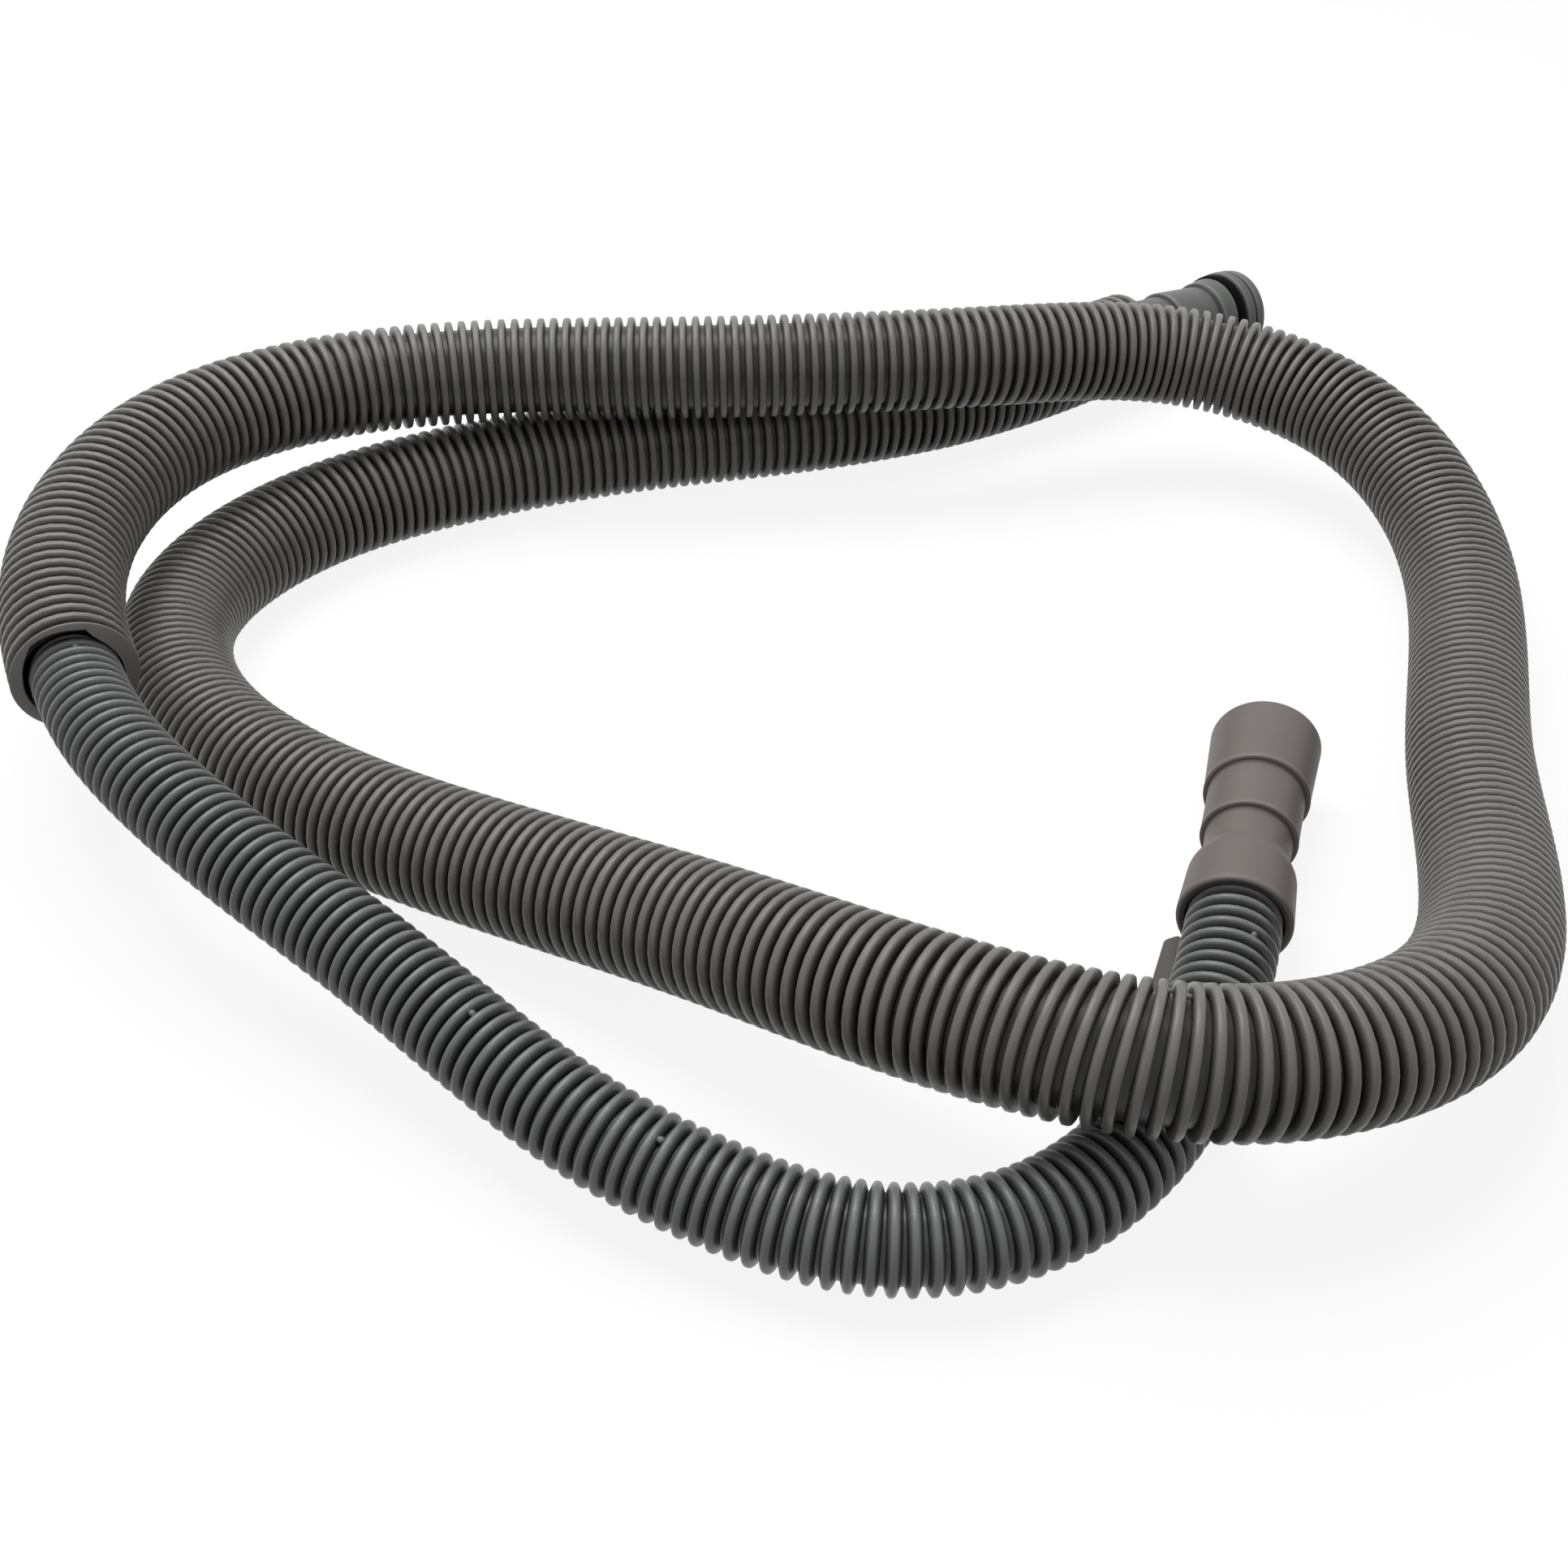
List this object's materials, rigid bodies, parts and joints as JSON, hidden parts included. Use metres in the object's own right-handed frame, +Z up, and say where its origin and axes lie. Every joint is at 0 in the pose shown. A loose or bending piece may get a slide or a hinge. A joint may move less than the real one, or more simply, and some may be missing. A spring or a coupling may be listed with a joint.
{
  "type": "dishwasher drain hose",
  "caption": "Corrugated dishwasher drain hose in a larger corrugated sleeve, with a stepped outlet cuff and a sealed machine connector, lying in a loose loop.",
  "frame": {"origin": "centre of the bounding box in plan, on the floor that the hose lies on", "axes": "+Z up; +Y from the front bend of the bare hose towards the machine connector; +X towards the sleeve's right-hand bend"},
  "size_m": [0.436, 0.4764, 0.0691],
  "materials": {
    "hose_plastic": "satin blue-grey polypropylene",
    "sleeve_plastic": "satin warm grey polypropylene",
    "cuff_plastic": "matt warm brown-grey moulding",
    "connector_plastic": "matt neutral grey moulding",
    "seal_rubber": "matt black rubber"
  },
  "bodies": {
    "root": {"drain_hose": "hose_plastic", "outer_sleeve": "sleeve_plastic", "outlet_cuff": "cuff_plastic", "machine_connector": "connector_plastic", "seal_ring": "seal_rubber", "flat_tab": "cuff_plastic"}
  },
  "joints": []
}
